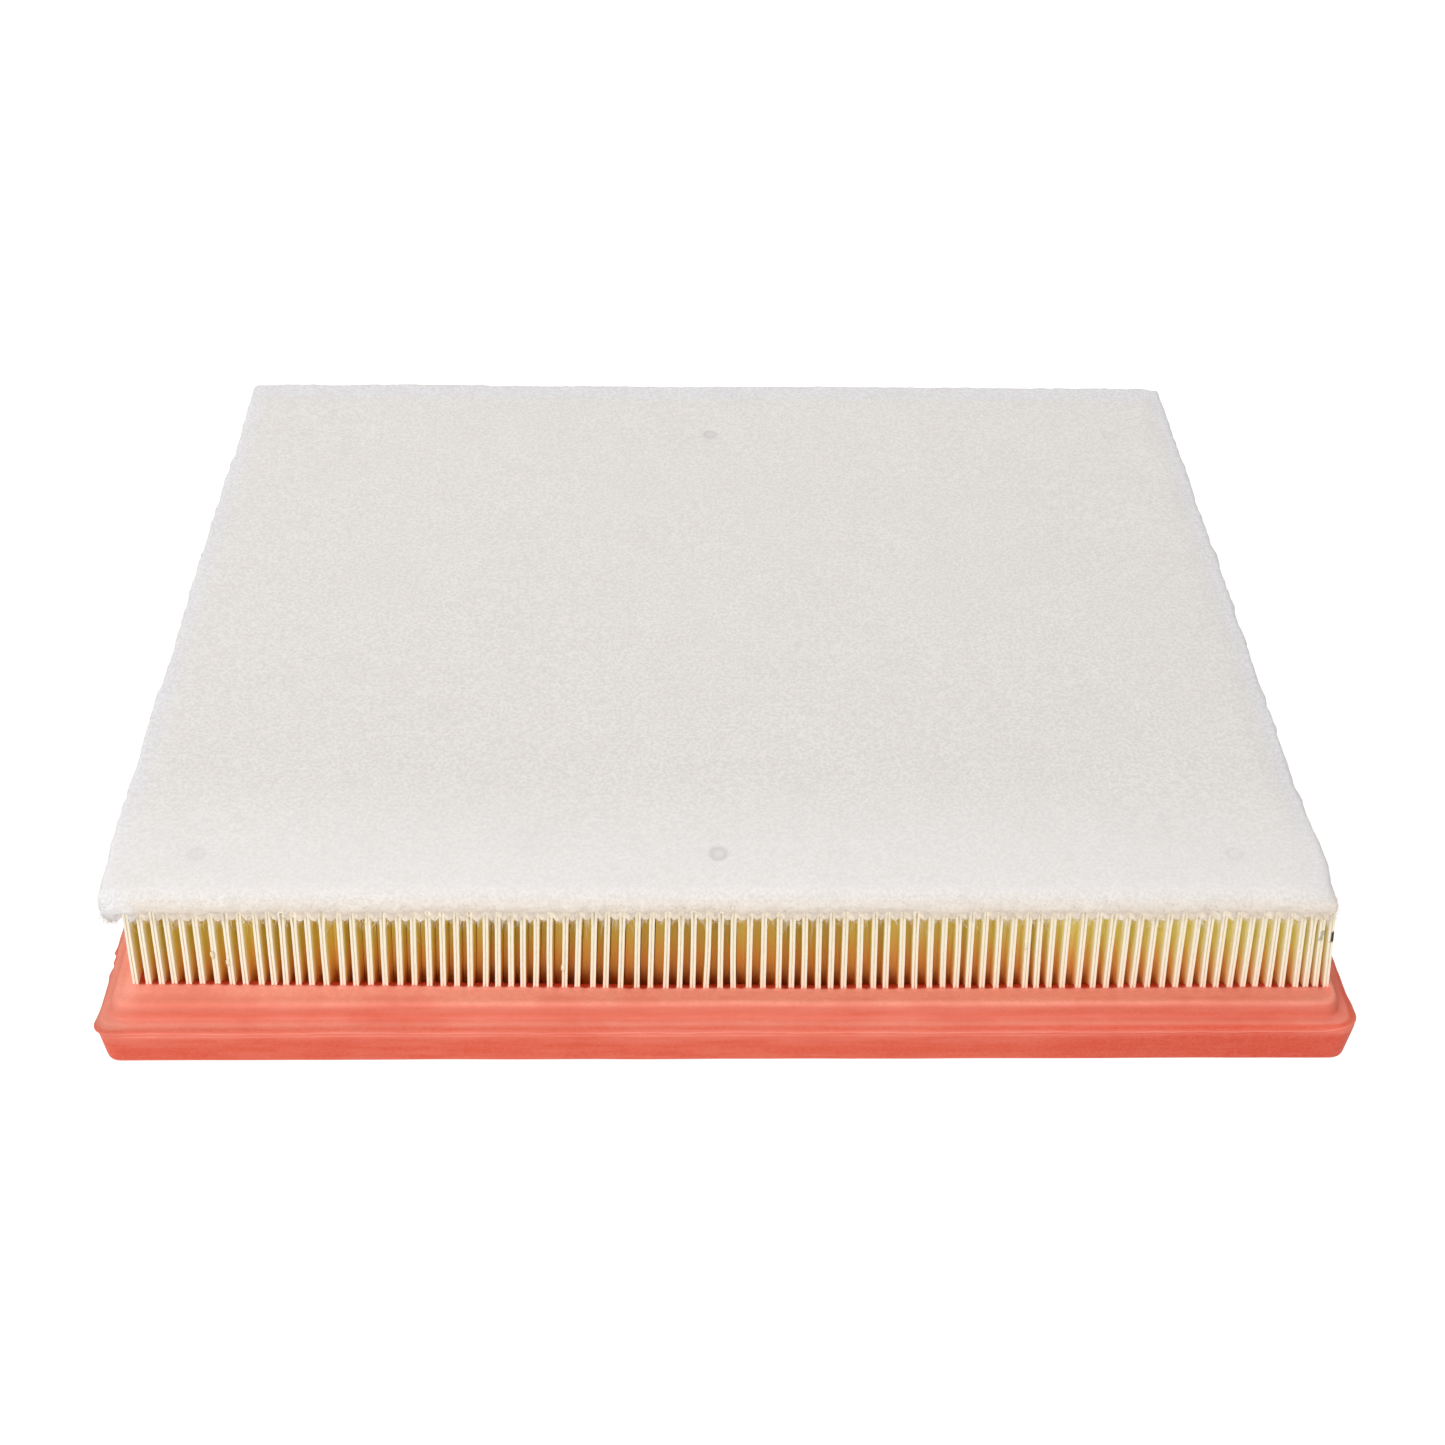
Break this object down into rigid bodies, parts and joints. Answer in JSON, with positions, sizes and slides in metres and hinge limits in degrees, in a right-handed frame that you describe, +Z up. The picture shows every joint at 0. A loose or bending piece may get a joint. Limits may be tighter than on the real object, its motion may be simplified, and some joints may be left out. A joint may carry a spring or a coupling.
{
  "type": "pleated panel air filter",
  "caption": "Flat rectangular engine air filter: foamed seal frame round a pleated paper pack, with a thick fleece prefilter pad on top.",
  "frame": {"origin": "middle of the seal frame's underside, which is also the bottom centre of the whole filter", "axes": "+X along the long side, across the pleats; +Y along the pleats; +Z up through the prefilter pad, against the airflow"},
  "size_m": [0.292, 0.235, 0.0478],
  "materials": {
    "polyurethane_foam": "matte",
    "filter_paper": "matte",
    "fleece": "matte",
    "hot_melt": "satin"
  },
  "bodies": {
    "root": {"seal_frame": "polyurethane_foam", "pleated_paper": "filter_paper", "end_seal_front": "hot_melt", "end_seal_rear": "hot_melt", "spacer_bead_top_1": "hot_melt", "spacer_bead_bottom_1": "hot_melt", "spacer_bead_top_2": "hot_melt", "spacer_bead_bottom_2": "hot_melt", "spacer_bead_top_3": "hot_melt", "spacer_bead_bottom_3": "hot_melt", "spacer_bead_top_4": "hot_melt", "spacer_bead_bottom_4": "hot_melt", "spacer_bead_top_5": "hot_melt", "spacer_bead_bottom_5": "hot_melt", "prefilter_pad": "fleece", "pad_glue_spot_front_left": "hot_melt", "pad_glue_spot_rear_left": "hot_melt", "pad_glue_spot_front_middle": "hot_melt", "pad_glue_spot_rear_middle": "hot_melt", "pad_glue_spot_front_right": "hot_melt", "pad_glue_spot_rear_right": "hot_melt"}
  },
  "joints": []
}
